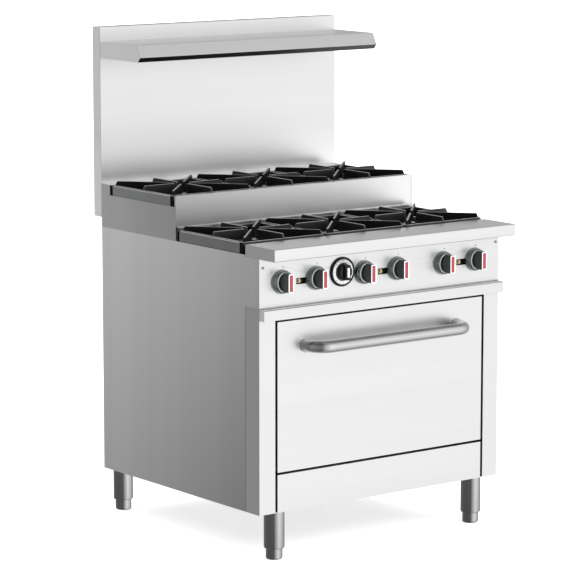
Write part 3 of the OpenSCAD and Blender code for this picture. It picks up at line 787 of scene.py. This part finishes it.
def burner(bm, place):
    """A cast burner head: a flared bowl with a stepped cap, and a ring of ports round its rim."""
    lathe(bm, mm([(0, 0), (30, 0), (46, 12), (48, 15), (48, 20), (46, 23), (40, 26.4), (36, 27), (20, 27),
                  (17, 28), (14, 33), (12, 34), (0, 34)]), place, steps=60)
    for k in range(BURNER_PORTS):
        angle = 2 * math.pi * k / BURNER_PORTS
        along = Vector((math.cos(angle), math.sin(angle), 0))
        across = Vector((-math.sin(angle), math.cos(angle), 0))
        prism(bm, mm([(28, -1.1), (44, -1.1), (44, 1.1), (28, 1.1)]), Vector(place) + Vector(UP) * 25 * MM,
              along, across, 3.4 * MM)


def burners():
    """A head under each grate."""
    heads = bmesh.new()
    for row in ROWS:
        base_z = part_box(f"burners_{row}")[1].z - BURNER_HEIGHT + 0.3 * MM
        for column in COLUMNS:
            at = middle(f"grate_{row}_{column}")
            burner(heads, (at.x, at.y, base_z))
    piece("burner_heads", heads, [iron], "body", bevel=0.5 * MM)


def oven_rack():
    """A round wire frame with a middle bar, and thinner wires from front to back on top of it."""
    low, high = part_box("oven_rack")
    bar, wire = 3 * MM, 1.9 * MM
    wire_count = 20
    wire_margin = 33 * MM
    level = low.z + bar
    wire_level = level + bar + 1.2 * MM
    centre = (low + high) / 2
    half_x, half_y = (high.x - low.x) / 2 - bar, (high.y - low.y) / 2 - bar
    rack = bmesh.new()
    outline = fillet(rectangle(half_x, half_y), 16 * MM, 6)
    loop = [Vector((centre.x + x, centre.y + y, level)) for x, y in outline]
    sweep(rack, loop + loop[:2], bar, steps=16, caps=False)
    crossbar = [Vector((centre.x + x, centre.y, level)) for x in (-half_x, half_x)]
    sweep(rack, crossbar, bar, steps=16)
    for k in range(wire_count):
        x = low.x + wire_margin + k * (high.x - low.x - 2 * wire_margin) / (wire_count - 1)
        ends = [Vector((x, y, wire_level)) for y in (low.y + MM, high.y - MM)]
        sweep(rack, ends, wire, steps=12)
    piece("oven_rack_wires", rack, [chrome], "oven_rack", ["oven_rack"])


burners()
oven_rack()


# ---- Front ledge ----

def ledge():
    """The rounded box above the knobs: one sheet bent over its top, front and bottom, closed at both ends."""
    low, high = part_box("front_ledge")
    sheet = 1.5 * MM
    lap = 0.1 * MM
    bm = bmesh.new()
    path = [(high.y, high.z), (low.y, high.z), (low.y, low.z), (FRONT + 10 * MM, low.z)]
    bent_sheet(bm, path, sheet, low.x, high.x, 3.2 * MM)
    cap = fillet([(high.y, low.z + lap), (high.y, high.z - lap), (low.y + lap, high.z - lap),
                  (low.y + lap, low.z + lap)], 3 * MM, 5)
    for x in (low.x + lap, high.x - sheet - lap):
        prism(bm, cap, (x, 0, 0), BACK, UP, sheet)
    piece("front_ledge_sheet", bm, [ledge_steel], "body", ["front_ledge"])


ledge()

SHEET_NODES = ("side_panel_left", "side_panel_right", "back_panel", "front_stiles", "kick_panel",
               "control_panel", "step_front", "guard_front", "guard_box", "shelf", "shelf_ends", "door_skin",
               "door_liner", "crumb_tray", "burner_box_front", "burner_box_rear", "flue_duct")
for name in SHEET_NODES:
    soften(CAD[name], 0.6 * MM)


# ---- Camera ----

AZIMUTH, ELEVATION = math.radians(-37.07), math.radians(9.05)
AIM = Vector((-0.058, 0.0115, 0.736))
DISTANCE = 9.026


def aim(obj, toward):
    """Points a camera or lamp along a direction."""
    obj.rotation_euler = toward.to_track_quat("-Z", "Y").to_euler()


def add_camera():
    """A long lens that looks down from the left of the front."""
    away = Vector((math.sin(AZIMUTH) * math.cos(ELEVATION), -math.cos(AZIMUTH) * math.cos(ELEVATION),
                   math.sin(ELEVATION)))
    camera = bpy.data.objects.new("camera", bpy.data.cameras.new("camera"))
    camera.data.sensor_width = 36.0
    camera.data.lens = 184.8
    camera.data.clip_end = 100
    camera.location = AIM + away * DISTANCE
    aim(camera, -away)
    bpy.context.scene.collection.objects.link(camera)
    bpy.context.scene.camera = camera


add_camera()


# ---- Light and floor ----

def add_lamp(name, kind, power):
    """A lamp that brightens matte surfaces and isn't mirrored in the metal."""
    lamp = bpy.data.objects.new(name, bpy.data.lights.new(name, kind))
    lamp.data.energy = power
    lamp.visible_glossy = False
    bpy.context.scene.collection.objects.link(lamp)
    return lamp


key_lamp = add_lamp("key", "AREA", 260)
key_lamp.data.shape = "RECTANGLE"
key_lamp.data.size = 4.0
key_lamp.data.size_y = 4.0
key_lamp.location = (3.0, -5.0, 4.5)
aim(key_lamp, Vector((0, 0, 0.3)) - key_lamp.location)

sky_lamp = add_lamp("sky", "SUN", 3.9)
sky_lamp.data.angle = math.radians(110)
sky_lamp.rotation_euler = (math.radians(8), 0, 0)


def fill_ramp(node, pairs):
    """Sets a ramp's stops to half of each (position, level), as a ramp's colours stop at 1."""
    node.color_ramp.interpolation = "EASE"
    stops = node.color_ramp.elements
    while len(stops) < len(pairs):
        stops.new(0.5)
    for stop, (position, level) in zip(stops, pairs):
        stop.position = position
        stop.color = (level / 2, level / 2, level / 2, 1)


def studio_world(around, levels):
    """Soft studio light: brightness by compass direction, as (degrees from +X, level), times a gain by
    height, as (sine of the elevation, gain). The camera itself sees plain white."""
    world = bpy.data.worlds.new("studio")
    bpy.context.scene.world = world
    world.use_nodes = True
    tree = world.node_tree
    link = tree.links.new

    def spread(source, start, end):
        """Grows from 0 to 1 as the source goes from start to end."""
        span = add_node(tree, "ShaderNodeMapRange", From_Min=start, From_Max=end)
        link(source, span.inputs["Value"])
        return span.outputs["Result"]

    def level_ramp(source, pairs):
        """A grey that follows the source."""
        ramp = add_node(tree, "ShaderNodeValToRGB")
        fill_ramp(ramp, pairs)
        link(source, ramp.inputs["Fac"])
        return ramp.outputs["Color"]

    split = add_node(tree, "ShaderNodeSeparateXYZ")
    link(add_node(tree, "ShaderNodeTexCoord").outputs["Generated"], split.inputs["Vector"])
    compass = add_node(tree, "ShaderNodeMath", operation="ARCTAN2")
    link(split.outputs["Y"], compass.inputs[0])
    link(split.outputs["X"], compass.inputs[1])
    brightness = level_ramp(spread(compass.outputs["Value"], -math.pi, math.pi),
                            [((angle + 180) / 360, level) for angle, level in around])
    gain = level_ramp(spread(split.outputs["Z"], -1.0, 1.0), [((z + 1) / 2, level) for z, level in levels])
    both = add_node(tree, "ShaderNodeMix", data_type="RGBA", blend_type="MULTIPLY")
    both.inputs["Factor"].default_value = 1.0
    link(brightness, both.inputs["A"])
    link(gain, both.inputs["B"])

    # Both ramps hold half of their levels, so a strength of 4 makes their product whole again.
    lit = add_node(tree, "ShaderNodeBackground", Strength=4.0)
    link(both.outputs["Result"], lit.inputs["Color"])
    seen = add_node(tree, "ShaderNodeBackground", Color=(1, 1, 1, 1))
    rays = add_node(tree, "ShaderNodeLightPath")
    choose = add_node(tree, "ShaderNodeMixShader")
    link(rays.outputs["Is Camera Ray"], choose.inputs["Fac"])
    link(lit.outputs["Background"], choose.inputs[1])
    link(seen.outputs["Background"], choose.inputs[2])
    link(choose.outputs["Shader"], tree.nodes["World Output"].inputs["Surface"])


studio_world([(-180, 0.30), (-128, 0.22), (-100, 0.85), (-72, 1.35), (-40, 1.05), (0, 0.55), (60, 0.60),
              (100, 0.52), (127, 0.54), (160, 0.4), (180, 0.32)],
             [(-1, 0.45), (-0.5, 0.85), (-0.16, 1.03), (0.1, 1.0), (0.4, 0.88), (0.6, 0.82), (0.74, 0.45),
              (1, 0.35)])

bpy.context.scene.view_settings.view_transform = "Standard"


def add_floor(size):
    """A plain pale floor under the feet."""
    mesh = bpy.data.meshes.new("floor")
    mesh.from_pydata([(x, y, 0) for x, y in rectangle(size / 2, size / 2)], [], [(0, 1, 2, 3)])
    mesh.materials.append(material("floor_pale", grey(0.88), 0.6, tone=0.005, streak_scale=60, bump=0.0,
                                   Emission_Color=(1, 1, 1, 1), Emission_Strength=0.6))
    floor = bpy.data.objects.new("floor", mesh)
    floor.location = (0, 0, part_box("foot_front_left")[0].z)
    floor.visible_glossy = False
    bpy.context.scene.collection.objects.link(floor)


add_floor(60.0)
